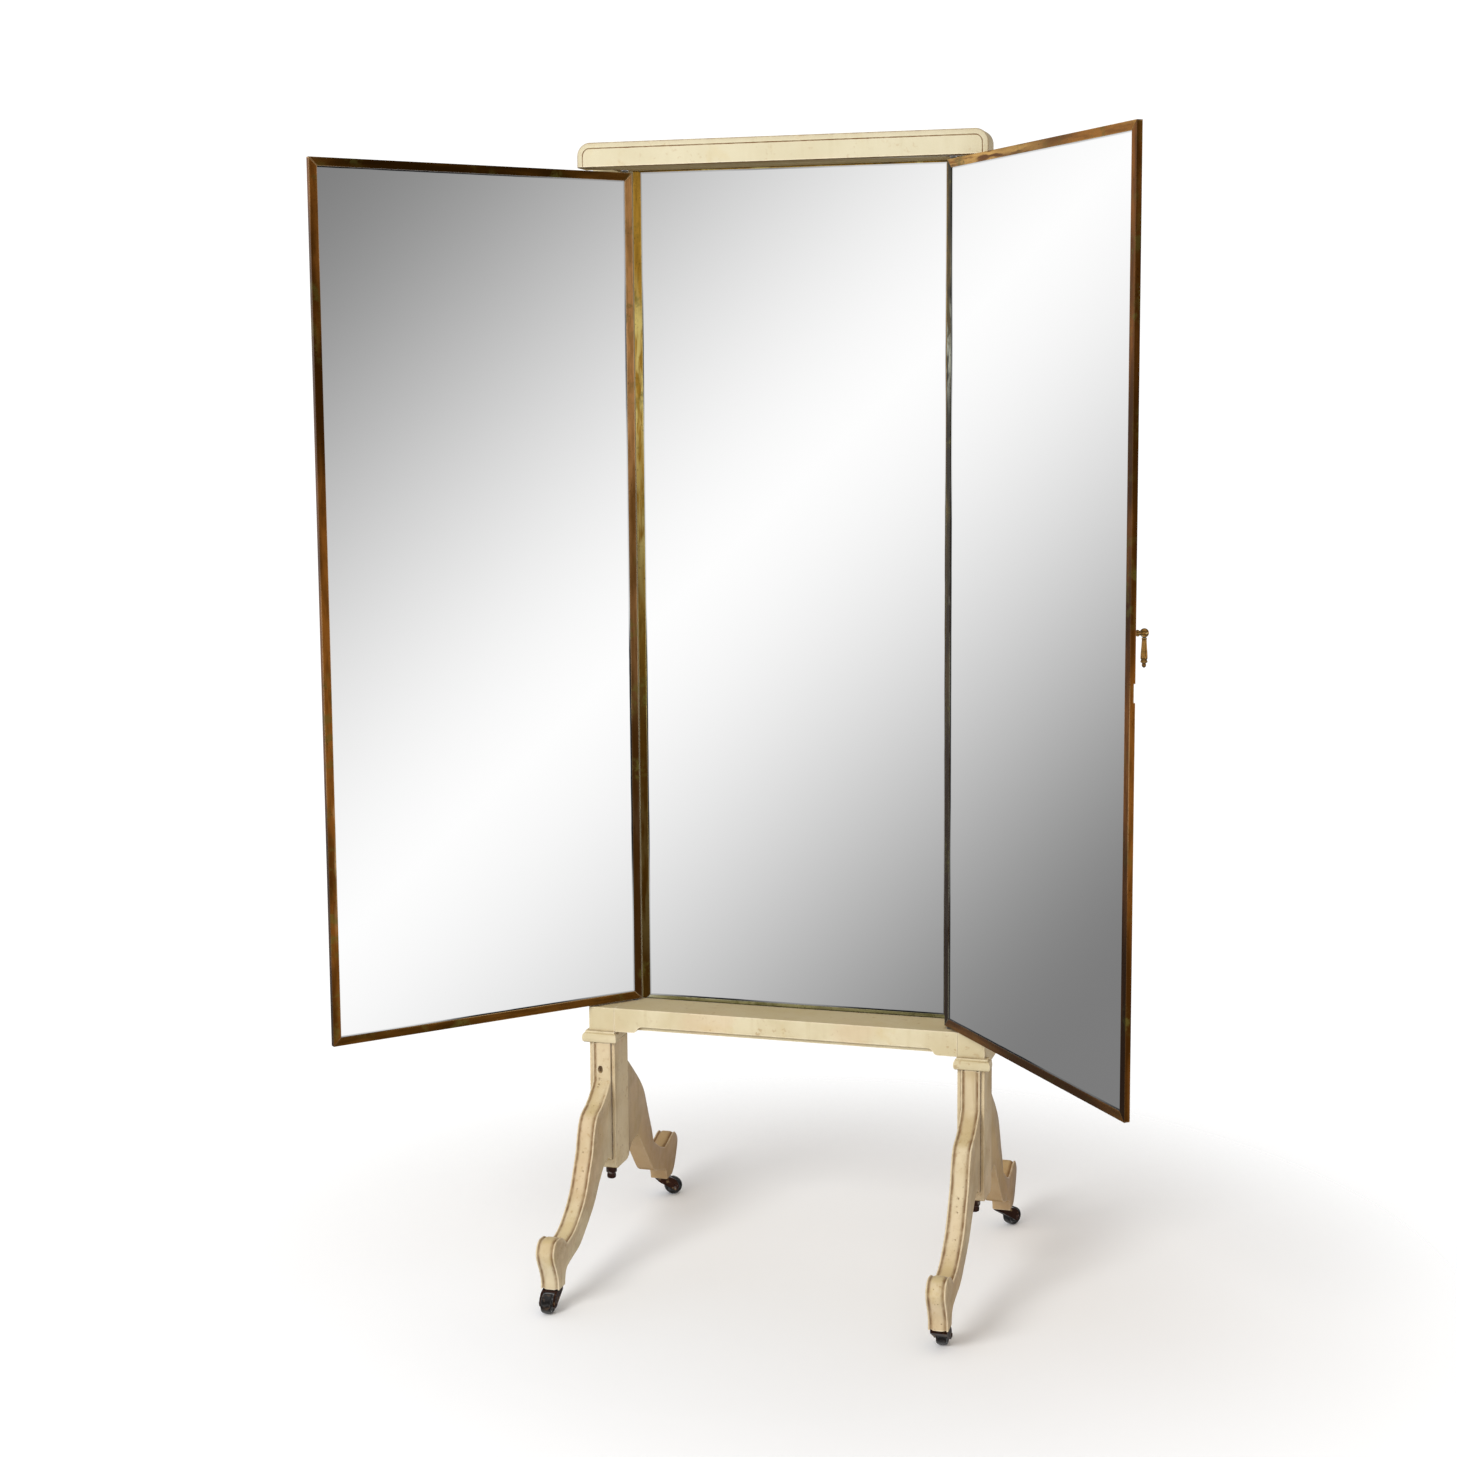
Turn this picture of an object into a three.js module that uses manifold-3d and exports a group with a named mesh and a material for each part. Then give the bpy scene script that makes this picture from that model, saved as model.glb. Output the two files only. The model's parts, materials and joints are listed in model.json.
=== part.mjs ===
// Three-way dressing mirror on castors: a fixed centre mirror in a painted wooden
// carcass on two trestle feet, with two brass-framed mirror wings turning on pins.
// Millimetres, +Z up. X runs across the mirror, -Y is the side the mirrors face.
// Everything is drawn with the floor on z = 0 and the centre frame's face on y = 0,
// then the whole group is moved so that its origin is the middle of its footprint.
import * as THREE from 'three';
import { mergeVertices } from 'three/addons/utils/BufferGeometryUtils.js';
import Module from 'manifold-3d';

const wasm = await Module();
wasm.setup();

const FIT = 0.3; // gap between neighbouring pieces

// Carcass
const HEIGHT = 1900;
const INNER = 299.8; // inner faces of the side posts
const OUTER = 345.5; // outer faces of the side posts
const FRONT = -80; // front of the top board and the bottom rail
const BACK = 36;
const SHELF = 440.3; // top of the bottom rail
const SOFFIT = 1859.5; // underside of the top board
const BOARD_BACK = -36;
const BOARD_HALF = 344;
const BOARD_CORNER = 22;
const RAIL_FOOT = 399;
const RAIL_ARCH = 410;
const BLOCK_FOOT = 379;
const POST_TOP = 1866;
const REBATE_BACK = 16.6; // back of the groove that holds the frame and its backing

// Brass frames: angle section, face width by depth
const ANGLE = 3; // thickness of the angle
const LIP = 2.4;
const WING_FACE = 13.5;
const WING_DEPTH = 9.5;
const CENTRE_FACE = 13.5;
const CENTRE_DEPTH = 10;
const CENTRE_HALF = 274.5;
const CENTRE_Z = [433.1, 1870.4];
const MITRE = 0.15;

// Wings
const WING_WIDTH = 567;
const WING_Z = [443, 1855.5];
const GLASS = 4;
const PIVOT_S = 10; // pivot axis from the hinge edge
const PIVOT_N = 5.8; // pivot axis behind the wing's face
const PIVOT_X = 283.2;
const LEFT_PIVOT_Y = -14.8;
const RIGHT_PIVOT_Y = -56.3;
const LEFT_OPEN = THREE.MathUtils.degToRad(47.6); // forward of flat
const RIGHT_OPEN = THREE.MathUtils.degToRad(51.5);
const PIN_R = 2.8;
const COLLAR_R = 4.8;
const BUSH_R = 6;
const BUSH_LENGTH = 15.5;
const CORNER = 14; // pivot block in the wing's corner

// Trestle feet
const LEG_X = 322.65; // centre plane of a foot
const LEG_THICK = 32.6;
const POST_FRONT = -79;
const POST_BACK = -11;
const POST_FOOT = 153;
const LEG_TOP = BLOCK_FOOT - FIT;
const SLOT_BACK = -69;
const SLOT_FOOT = 171.7;
const PAD_Z = 36; // underside of the toes
const FRONT_STEM_Y = -327.7;
const REAR_STEM_Y = 232.5;
const TIE_Y = -40;
const TIE_R = 9.5;

// Castors
const WHEEL_R = 16;
const WHEEL_HALF = 8.6;
const TRAIL = 23;
const STEM_R = 4;
const STEM_TOP = 60;
const AXLE_R = 2.5;
const FORK_HALF = 13.5;
const FORK_GAP = 10;

// Handle on the back of the right wing
const HANDLE_S = 552;
const HANDLE_Z = 1148;
const BALL_R = 6.6;
const BALL_OUT = 32; // ball centre behind the wing's face

const CREAM = { color: 0xded0ac, roughness: 0.5, metalness: 0 };
const BACK_CREAM = { color: 0xcfbf98, roughness: 0.6, metalness: 0 };
const BRASS = { color: 0x9a7130, roughness: 0.38, metalness: 1 };
const SILVER = { color: 0xf2f4f4, roughness: 0.03, metalness: 1 };
const STEEL = { color: 0x8e8b84, roughness: 0.35, metalness: 1 };
const IRON = { color: 0x3b2a1c, roughness: 0.5, metalness: 0.8 };
const BLACK = { color: 0x14110e, roughness: 0.35, metalness: 0 };

// Shared positions only, no sliver faces, faces outward.
function weld(geometry) {
  const bare = geometry.clone();
  bare.deleteAttribute('normal');
  bare.deleteAttribute('uv');
  const welded = mergeVertices(bare, 1e-4);
  const position = welded.attributes.position;
  const faces = [];
  const corner = [0, 1, 2].map(() => new THREE.Vector3());
  let volume = 0;
  for (let i = 0; i < welded.index.count; i += 3) {
    const face = [0, 1, 2].map((k) => welded.index.getX(i + k));
    if (new Set(face).size < 3) continue;
    face.forEach((v, k) => corner[k].fromBufferAttribute(position, v));
    volume += corner[0].dot(corner[1].cross(corner[2]));
    faces.push(face);
  }
  welded.setIndex(faces.flatMap((f) => (volume < 0 ? [f[0], f[2], f[1]] : f)));
  return welded;
}

function toSolid(geometry) {
  const welded = weld(geometry);
  return new wasm.Manifold(new wasm.Mesh({
    numProp: 3,
    vertProperties: new Float32Array(welded.attributes.position.array),
    triVerts: new Uint32Array(welded.index.array),
  }));
}

function toGeometry(solid) {
  const mesh = solid.getMesh();
  const geometry = new THREE.BufferGeometry();
  geometry.setAttribute('position', new THREE.BufferAttribute(mesh.vertProperties, 3));
  geometry.setIndex(new THREE.BufferAttribute(mesh.triVerts, 1));
  return geometry;
}

const combine = (how) => (first, ...rest) =>
  toGeometry(rest.reduce((solid, next) => solid[how](toSolid(next)), toSolid(first)));
const cut = combine('subtract');
const join = combine('add');
const common = combine('intersect');

function box(x, y, z) {
  const size = [x, y, z].map(([lo, hi]) => hi - lo);
  const middle = [x, y, z].map(([lo, hi]) => (hi + lo) / 2);
  return new THREE.BoxGeometry(...size).translate(...middle);
}

const outline = (points) => new THREE.Shape(points.map(([a, b]) => new THREE.Vector2(a, b)));
const smooth = (shape, points) => shape.splineThru(points.map(([a, b]) => new THREE.Vector2(a, b)));

function extrude(shape, depth, curveSegments) {
  return new THREE.ExtrudeGeometry(shape, { depth, bevelEnabled: false, curveSegments });
}

// A shape drawn in (y, z), run along X.
function prismX(shape, [x0, x1], curveSegments = 3) {
  const turn = new THREE.Matrix4().set(0, 0, 1, x0, 1, 0, 0, 0, 0, 1, 0, 0, 0, 0, 0, 1);
  return extrude(shape, x1 - x0, curveSegments).applyMatrix4(turn);
}

// A shape drawn in (x, z), run along Y.
function prismY(shape, [y0, y1], curveSegments = 8) {
  const turn = new THREE.Matrix4().set(1, 0, 0, 0, 0, 0, 1, y0, 0, 1, 0, 0, 0, 0, 0, 1);
  return extrude(shape, y1 - y0, curveSegments).applyMatrix4(turn);
}

// Profiles are (radius, distance along the axis).
function turnedY(profile, segments = 24) {
  return new THREE.LatheGeometry(profile.map(([r, a]) => new THREE.Vector2(r, a)), segments);
}
const turnedZ = (profile, segments) => turnedY(profile, segments).rotateX(Math.PI / 2);
const rod = (r, [a0, a1]) => [[0, a0], [r, a0], [r, a1], [0, a1]];
const ring = (hole, r, [a0, a1]) => [[hole, a0], [r, a0], [r, a1], [hole, a1], [hole, a0]];

const piece = (group) => (name, geometry, finish) => {
  const shape = weld(geometry).toNonIndexed();
  shape.computeVertexNormals();
  const mesh = new THREE.Mesh(shape, new THREE.MeshStandardMaterial(finish));
  mesh.name = name;
  group.add(mesh);
};

const mirror = new THREE.Group();
const add = piece(mirror);
const SIDES = [['left', -1], ['right', 1]];
const span = (side, a, b) => (side < 0 ? [-b, -a] : [a, b]);

// Four mitred angle bars round a frame of the given size; x across, y deep, z up from 0.
function frameBars(width, height, face, depth) {
  const section = outline([[0, 0], [0, face], [LIP, face], [LIP, ANGLE], [depth, ANGLE], [depth, 0]]);
  const bar = (length) => {
    const geometry = prismX(section, [0, length]);
    const p = geometry.attributes.position;
    for (let i = 0; i < p.count; i += 1) {
      const inset = p.getZ(i) + MITRE;
      p.setX(i, p.getX(i) < length / 2 ? inset : length - inset);
    }
    return geometry;
  };
  const upright = new THREE.Matrix4().set(0, 0, 1, 0, 0, 1, 0, 0, 1, 0, 0, 0, 0, 0, 0, 1);
  return {
    bottom: bar(width),
    top: bar(width).scale(1, 1, -1).translate(0, 0, height),
    near: bar(height).applyMatrix4(upright),
    far: bar(height).applyMatrix4(upright).scale(-1, 1, 1).translate(width, 0, 0),
  };
}

// ---- carcass ----
const bushBottom = [SHELF - BUSH_LENGTH, SHELF];
const bushTop = [SOFFIT, SOFFIT + BUSH_LENGTH];
const pivotY = (side) => (side < 0 ? LEFT_PIVOT_Y : RIGHT_PIVOT_Y);
const bushHole = (side, [z0, z1]) =>
  turnedZ(rod(BUSH_R + FIT, [z0 - FIT, z1 + FIT])).translate(side * PIVOT_X, pivotY(side), 0);

const railEnd = INNER - FIT;
const railFront = new THREE.Shape();
railFront.moveTo(-railEnd, SHELF);
railFront.lineTo(-railEnd, RAIL_FOOT);
railFront.lineTo(-267, RAIL_FOOT);
railFront.bezierCurveTo(-256, RAIL_FOOT, -262, RAIL_ARCH, -248, RAIL_ARCH);
railFront.lineTo(248, RAIL_ARCH);
railFront.bezierCurveTo(262, RAIL_ARCH, 256, RAIL_FOOT, 267, RAIL_FOOT);
railFront.lineTo(railEnd, RAIL_FOOT);
railFront.lineTo(railEnd, SHELF);
const railBody = outline([[FRONT + 9, SHELF], [-FIT, SHELF], [-FIT, CENTRE_Z[0] - FIT],
  [REBATE_BACK, CENTRE_Z[0] - FIT], [REBATE_BACK, 465], [BACK, 465], [BACK, 402], [FRONT + 9, 402]]);
add('bottom_rail', cut(
  join(prismY(railFront, [FRONT, FRONT + 10]), prismX(railBody, [-railEnd, railEnd])),
  bushHole(-1, bushBottom), bushHole(1, bushBottom)), CREAM);

const boardShape = new THREE.Shape();
boardShape.moveTo(-BOARD_HALF, SOFFIT);
boardShape.lineTo(BOARD_HALF, SOFFIT);
boardShape.absarc(BOARD_HALF - BOARD_CORNER, HEIGHT - BOARD_CORNER, BOARD_CORNER, 0, Math.PI / 2);
boardShape.absarc(BOARD_CORNER - BOARD_HALF, HEIGHT - BOARD_CORNER, BOARD_CORNER, Math.PI / 2, Math.PI);
add('top_board', cut(prismY(boardShape, [FRONT, BOARD_BACK]), bushHole(1, bushTop)), CREAM);

const headSection = outline([[BOARD_BACK + FIT, SOFFIT], [-FIT, SOFFIT], [-FIT, CENTRE_Z[1] + 0.6],
  [REBATE_BACK, CENTRE_Z[1] + 0.6], [REBATE_BACK, 1835], [BACK, 1835], [BACK, 1893],
  [BOARD_BACK + FIT, 1893]]);
add('head_rail', cut(prismX(headSection, [-railEnd, railEnd]), bushHole(-1, bushTop)), CREAM);
add('backing_board', box([-railEnd, railEnd], [CENTRE_DEPTH + FIT, REBATE_BACK - FIT],
  [CENTRE_Z[0], CENTRE_Z[1] + FIT]), BACK_CREAM);

const centreHeight = CENTRE_Z[1] - CENTRE_Z[0];
const centreBars = frameBars(2 * CENTRE_HALF, centreHeight, CENTRE_FACE, CENTRE_DEPTH);
const centreNames = { bottom: 'bottom', top: 'top', near: 'left', far: 'right' };
for (const [key, name] of Object.entries(centreNames)) {
  add(`centre_frame_${name}`, centreBars[key].translate(-CENTRE_HALF, 0, CENTRE_Z[0]), BRASS);
}
const glassInset = ANGLE + FIT;
add('centre_mirror', box([glassInset - CENTRE_HALF, CENTRE_HALF - glassInset],
  [LIP + FIT, CENTRE_DEPTH - 0.5], [CENTRE_Z[0] + glassInset, CENTRE_Z[1] - glassInset]), SILVER);

// Moulded collar round the front of a side block, as (inset, z) from its widest line.
const COLLAR_MOULD = [[3, 379.3], [0.8, 381.5], [0, 386], [0.4, 391], [2.2, 394.5], [4.6, 395.6],
  [4.6, 398.7]];
function collar(side) {
  const [x0, x1] = span(side, 294, 356);
  const across = outline([...COLLAR_MOULD.map(([d, z]) => [x0 + d, z]),
    ...COLLAR_MOULD.map(([d, z]) => [x1 - d, z]).reverse()]);
  const deep = outline([...COLLAR_MOULD.map(([d, z]) => [FRONT - 9 + d, z]),
    [-66, COLLAR_MOULD.at(-1)[1]], [-66, COLLAR_MOULD[0][1]]]);
  const block = box(span(side, INNER - FIT, OUTER + FIT), [FRONT - FIT, 0], [370, 410]);
  return cut(common(prismY(across, [FRONT - 9, -66]), prismX(deep, [x0, x1])), block);
}

// ---- trestle feet ----
const frontLeg = new THREE.Shape();
frontLeg.moveTo(SLOT_BACK - FIT, LEG_TOP);
frontLeg.lineTo(-84, LEG_TOP);
frontLeg.lineTo(-84, 311);
smooth(frontLeg, [[-99, 296], [-121, 281], [-150, 268], [-165, 244], [-175, 211], [-188, 187],
  [-204, 158], [-225, 135], [-262, 110], [-300, 101]]);
smooth(frontLeg, [[-322, 118], [-341, 122], [-355, 118], [-363, 104], [-360, 89], [-350, 70],
  [-343, 52], [-342, PAD_Z]]);
frontLeg.lineTo(-314, PAD_Z);
smooth(frontLeg, [[-308, 58], [-286, 67], [-245, 76], [-210, 96], [-172, 123], [-146, 151],
  [-119, 174], [-98, 179], [-84, 172]]);
frontLeg.lineTo(SLOT_BACK - FIT, SLOT_FOOT + FIT);

const rearLeg = new THREE.Shape();
rearLeg.moveTo(POST_BACK + FIT, 330);
smooth(rearLeg, [[10, 322], [24, 311], [66, 275], [93, 245], [110, 211], [119, 191], [134, 160],
  [144, 135], [157, 125], [183, 110], [210, 100]]);
smooth(rearLeg, [[229, 104], [262, 113], [278, 103], [283, 90], [275, 70], [262, 48], [247, PAD_Z]]);
rearLeg.lineTo(218, PAD_Z);
smooth(rearLeg, [[211, 54], [190, 63], [149, 76], [130, 92], [99, 127], [68, 161], [53, 173],
  [30, 170], [12, 158], [8, 150]]);
rearLeg.lineTo(POST_BACK + FIT, 150);

const lowerPost = new THREE.Shape();
lowerPost.moveTo(POST_FRONT, LEG_TOP);
lowerPost.lineTo(POST_FRONT, POST_FOOT + 13);
lowerPost.quadraticCurveTo(POST_FRONT + 1, POST_FOOT, POST_FRONT + 12, POST_FOOT);
lowerPost.lineTo(POST_BACK - 12, POST_FOOT);
lowerPost.quadraticCurveTo(POST_BACK - 1, POST_FOOT, POST_BACK, POST_FOOT + 14);
lowerPost.lineTo(POST_BACK, LEG_TOP);

for (const [name, side] of SIDES) {
  const x = side * LEG_X;
  const full = span(side, INNER, OUTER);
  const board = [x - LEG_THICK / 2, x + LEG_THICK / 2];
  const slot = [board[0] - FIT, board[1] + FIT];
  const bore = (y) => turnedZ(rod(STEM_R + 0.1, [PAD_Z - 1, STEM_TOP + FIT])).translate(x, y, 0);

  add(`${name}_block`, box(full, [FRONT, BACK], [BLOCK_FOOT, SHELF]), CREAM);
  add(`${name}_post`, box(full, [FIT, BACK], [SHELF + FIT, POST_TOP]), CREAM);
  add(`${name}_collar`, collar(side), CREAM);
  add(`${name}_lower_post`, cut(prismX(lowerPost, full, 6),
    box(slot, [POST_FRONT - 5, SLOT_BACK], [SLOT_FOOT, LEG_TOP + 5]),
    turnedZ(rod(TIE_R + FIT, [POST_FOOT - 5, 167])).translate(x, TIE_Y, 0)), CREAM);
  add(`${name}_front_leg`, cut(prismX(frontLeg, board), bore(FRONT_STEM_Y)), CREAM);
  add(`${name}_rear_leg`, cut(prismX(rearLeg, board), bore(REAR_STEM_Y)), CREAM);
  add(`${name}_tie_bolt`, turnedZ([[0, 124], [6, 124], [8, 126], [TIE_R, 130], [TIE_R, 166.5], [0, 166.5]])
    .translate(x, TIE_Y, 0), STEEL);
  for (const [end, z] of [['bottom', bushBottom], ['top', bushTop]]) {
    add(`${name}_bush_${end}`, turnedZ(ring(PIN_R + 0.1, BUSH_R, z))
      .translate(side * PIVOT_X, pivotY(side), 0), BRASS);
  }
}

// ---- castors ----
const forkSide = new THREE.Shape();
forkSide.moveTo(-10, 30);
forkSide.lineTo(-10, PAD_Z - 0.4);
forkSide.lineTo(10, PAD_Z - 0.4);
forkSide.quadraticCurveTo(26, 33, 29.2, 18);
forkSide.absarc(TRAIL, WHEEL_R, 6.5, 0.3, -2.6, true);
forkSide.lineTo(-6, 27);
const HALF_TREAD = [[2.6, WHEEL_HALF - 0.2], [6, WHEEL_HALF - 0.2], [6.8, 7.2], [11.5, 6.4],
  [14, WHEEL_HALF], [15.3, 7.4], [WHEEL_R, 4]];
const tread = [...HALF_TREAD.map(([r, a]) => [r, -a]), ...HALF_TREAD.toReversed(), [2.6, 0.2 - WHEEL_HALF]];

function castor(name, x, y, heading) {
  const group = new THREE.Group();
  group.position.set(x, y, 0);
  group.rotation.z = THREE.MathUtils.degToRad(heading);
  mirror.add(group);
  const put = piece(group);
  const atAxle = (geometry) => geometry.translate(TRAIL, 0, WHEEL_R);
  const stem = turnedZ([[0, 32], [9, 32], [11, 33.5], [11, PAD_Z - FIT], [STEM_R, PAD_Z - FIT],
    [STEM_R, STEM_TOP], [0, STEM_TOP]]);
  put(`${name}_fork`, join(cut(prismY(forkSide, [-FORK_HALF, FORK_HALF]),
    atAxle(turnedY(rod(WHEEL_R + 1.5, [-FORK_GAP, FORK_GAP]), 48)),
    atAxle(turnedY(rod(AXLE_R + FIT, [-20, 20])))), stem), IRON);
  const half = [[4, FORK_HALF + FIT], [4, FORK_HALF + 1], [3.2, FORK_HALF + 2], [0, FORK_HALF + 2]];
  const axle = [...half.map(([r, a]) => [r, -a]).reverse(), [AXLE_R, -FORK_HALF - FIT],
    [AXLE_R, FORK_HALF + FIT], ...half];
  put(`${name}_axle`, atAxle(turnedY(axle)), STEEL);
  put(`${name}_wheel`, atAxle(turnedY(tread, 36)), BLACK);
}
castor('front_left_castor', -LEG_X, FRONT_STEM_Y, -90);
castor('front_right_castor', LEG_X, FRONT_STEM_Y, 90);
castor('rear_left_castor', -LEG_X, REAR_STEM_Y, 38);
castor('rear_right_castor', LEG_X, REAR_STEM_Y, 55);

// ---- wings ----
// Drawn with the pivot axis on the origin, x towards the free edge and y behind the glass.
const wingHeight = WING_Z[1] - WING_Z[0];
const wingX = (s) => s - PIVOT_S;
const wingY = (n) => n - PIVOT_N;

function wingPanel([n0, n1]) {
  const [lo, hi] = [WING_Z[0] + glassInset, WING_Z[1] - glassInset];
  const notch = CORNER + FIT;
  const [x0, x1, x2] = [wingX(glassInset), wingX(notch), wingX(WING_WIDTH - glassInset)];
  return prismY(outline([[x1, lo], [x2, lo], [x2, hi], [x1, hi],
    [x1, WING_Z[1] - notch], [x0, WING_Z[1] - notch], [x0, WING_Z[0] + notch],
    [x1, WING_Z[0] + notch]]), [wingY(n0), wingY(n1)]);
}

// Pivot pin: block inside the wing's corner, washer in the gap, pin into the carcass bush.
function pivotPin(end) {
  const up = end === 'top' ? 1 : -1;
  const edge = end === 'top' ? WING_Z[1] : WING_Z[0];
  const stop = end === 'top' ? SOFFIT : SHELF;
  const order = (a, b) => [Math.min(a, b), Math.max(a, b)];
  const block = box([wingX(glassInset), wingX(CORNER)], [wingY(LIP + FIT), wingY(WING_DEPTH - FIT)],
    order(edge - up * glassInset, edge - up * CORNER));
  const shaft = turnedZ(rod(PIN_R, order(edge - up * 8, stop + up * 12)));
  const washer = turnedZ(rod(COLLAR_R, order(edge + up * FIT, stop - up * FIT)));
  return join(block, shaft, washer);
}

for (const [name, side] of SIDES) {
  const wing = new THREE.Group();
  wing.position.set(side * PIVOT_X, pivotY(side), 0);
  wing.rotation.z = side < 0 ? LEFT_OPEN : -RIGHT_OPEN;
  mirror.add(wing);
  const put = (part, geometry, finish) =>
    piece(wing)(`${name}_wing_${part}`, geometry.scale(side, 1, 1), finish);

  const bars = frameBars(WING_WIDTH, wingHeight, WING_FACE, WING_DEPTH);
  for (const bar of Object.values(bars)) bar.translate(-PIVOT_S, -PIVOT_N, WING_Z[0]);
  const pinHole = turnedZ(rod(PIN_R + FIT, [WING_Z[0] - 5, WING_Z[1] + 5]));
  const chip = box([wingX(WING_WIDTH - 5), wingX(WING_WIDTH + 5)], [wingY(6.5), wingY(15)], [1051, 1078]);
  put('bottom_bar', cut(bars.bottom, pinHole), BRASS);
  put('top_bar', cut(bars.top, pinHole), BRASS);
  put('hinge_stile', bars.near, BRASS);
  put('outer_stile', side > 0 ? cut(bars.far, chip) : bars.far, BRASS);
  put('mirror', wingPanel([LIP + FIT, LIP + FIT + GLASS]), SILVER);
  put('backing', wingPanel([LIP + 2 * FIT + GLASS, WING_DEPTH - FIT]), BACK_CREAM);
  put('pin_bottom', pivotPin('bottom'), STEEL);
  put('pin_top', pivotPin('top'), STEEL);

  if (side > 0) {
    const [hx, hy] = [wingX(HANDLE_S), wingY(BALL_OUT)];
    const seat = wingY(WING_DEPTH);
    const ball = Array.from({ length: 10 }, (_, i) => {
      const t = -1.1 + (i / 9) * (1.1 + Math.PI / 2);
      return [i < 9 ? BALL_R * Math.cos(t) : 0, hy + BALL_R * Math.sin(t)];
    });
    const knob = turnedY([[0, seat], [8, seat], [8, seat + 1], [6, seat + 2.6], [3.5, seat + 3.6],
      [3.4, seat + 9.5], [4.8, seat + 11], [4.8, seat + 12.5], [3.4, seat + 14], ...ball])
      .translate(hx, 0, HANDLE_Z);
    const slot = box([hx - 1.7, hx + 1.7], [hy - 5, hy + 8], [HANDLE_Z - 8, HANDLE_Z + 2.8]);
    const pin = turnedY(rod(1.1, [-5, 5]), 16).rotateZ(Math.PI / 2).translate(hx, hy, HANDLE_Z);
    put('handle_knob', join(cut(knob, slot), pin), BRASS);

    const tongue = new THREE.Shape();
    tongue.absarc(hy, HANDLE_Z, 2.4, 0, Math.PI);
    tongue.lineTo(hy - 1.8, HANDLE_Z - 9);
    tongue.lineTo(hy + 1.8, HANDLE_Z - 9);
    const eye = turnedY(rod(1.35, [-5, 5]), 16).rotateZ(Math.PI / 2).translate(hx, hy, HANDLE_Z);
    const drop = turnedZ([[0, 1141], [3.7, 1141], [3.9, 1140.1], [3.5, 1137.5], [3.8, 1133], [4.7, 1121],
      [5.1, 1113], [4.9, 1111], [4, 1109.2], [5.1, 1107.8], [5.1, 1106.7], [2.7, 1104.6], [3.2, 1102.2],
      [2.5, 1099.8], [0, 1098]])
      .translate(hx, hy, 0);
    put('handle_drop', join(cut(prismX(tongue, [hx - 1.4, hx + 1.4], 10), eye), drop), BRASS);
  }
}

// Origin: middle of the bounding box's footprint, on the floor.
mirror.updateMatrixWorld(true);
const middle = new THREE.Box3().setFromObject(mirror).getCenter(new THREE.Vector3());
mirror.position.set(-middle.x, -middle.y, 0);
mirror.updateMatrixWorld(true);

export default mirror;
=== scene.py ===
"""Looks for the three-way dressing mirror: worn cream paint, aged brass, silvered glass and iron castors.

Lengths are millimetres, which MM or at() turns into metres. Only the materials, and what the frame gives,
are in metres from the start. at() takes places in the carcass frame, whose origin is on the floor under the
middle of the centre frame's face.
"""
import json
import math

import bmesh
import bpy
from mathutils import Matrix, Vector

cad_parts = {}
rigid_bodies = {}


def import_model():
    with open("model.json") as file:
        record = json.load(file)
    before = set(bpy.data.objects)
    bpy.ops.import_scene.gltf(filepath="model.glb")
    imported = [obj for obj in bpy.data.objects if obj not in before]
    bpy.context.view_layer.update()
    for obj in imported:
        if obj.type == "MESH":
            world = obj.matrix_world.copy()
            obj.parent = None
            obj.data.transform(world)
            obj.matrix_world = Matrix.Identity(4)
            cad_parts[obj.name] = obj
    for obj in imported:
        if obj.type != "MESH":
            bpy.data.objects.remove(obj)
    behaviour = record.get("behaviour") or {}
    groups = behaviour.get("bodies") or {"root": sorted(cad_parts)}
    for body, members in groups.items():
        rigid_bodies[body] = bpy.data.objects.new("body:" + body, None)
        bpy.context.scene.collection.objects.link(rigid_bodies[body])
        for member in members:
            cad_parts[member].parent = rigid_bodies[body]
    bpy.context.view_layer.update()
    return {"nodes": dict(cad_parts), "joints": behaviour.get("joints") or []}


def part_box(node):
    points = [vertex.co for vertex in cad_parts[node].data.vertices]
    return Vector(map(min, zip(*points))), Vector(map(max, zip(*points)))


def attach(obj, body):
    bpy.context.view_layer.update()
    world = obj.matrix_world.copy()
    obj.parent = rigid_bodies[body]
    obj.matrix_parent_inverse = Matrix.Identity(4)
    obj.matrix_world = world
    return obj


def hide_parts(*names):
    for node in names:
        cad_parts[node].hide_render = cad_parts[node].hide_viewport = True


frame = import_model()
bpy.context.scene.view_settings.view_transform = "Standard"

MM = 0.001
SIDES = ("left", "right")
CASTORS = ("front_left", "front_right", "rear_left", "rear_right")
JOINTS = {joint["name"]: joint for joint in frame["joints"]}


def middle_of(node):
    low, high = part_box(node)
    return (low + high) / 2


ORIGIN = Vector((middle_of("centre_frame_bottom").x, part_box("centre_frame_bottom")[0].y, 0))


def at(x, y, z):
    """A place in metres, from millimetres in the carcass frame."""
    return ORIGIN + Vector((x, y, z)) * MM


# ---------------------------------------------------------------- materials


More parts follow.
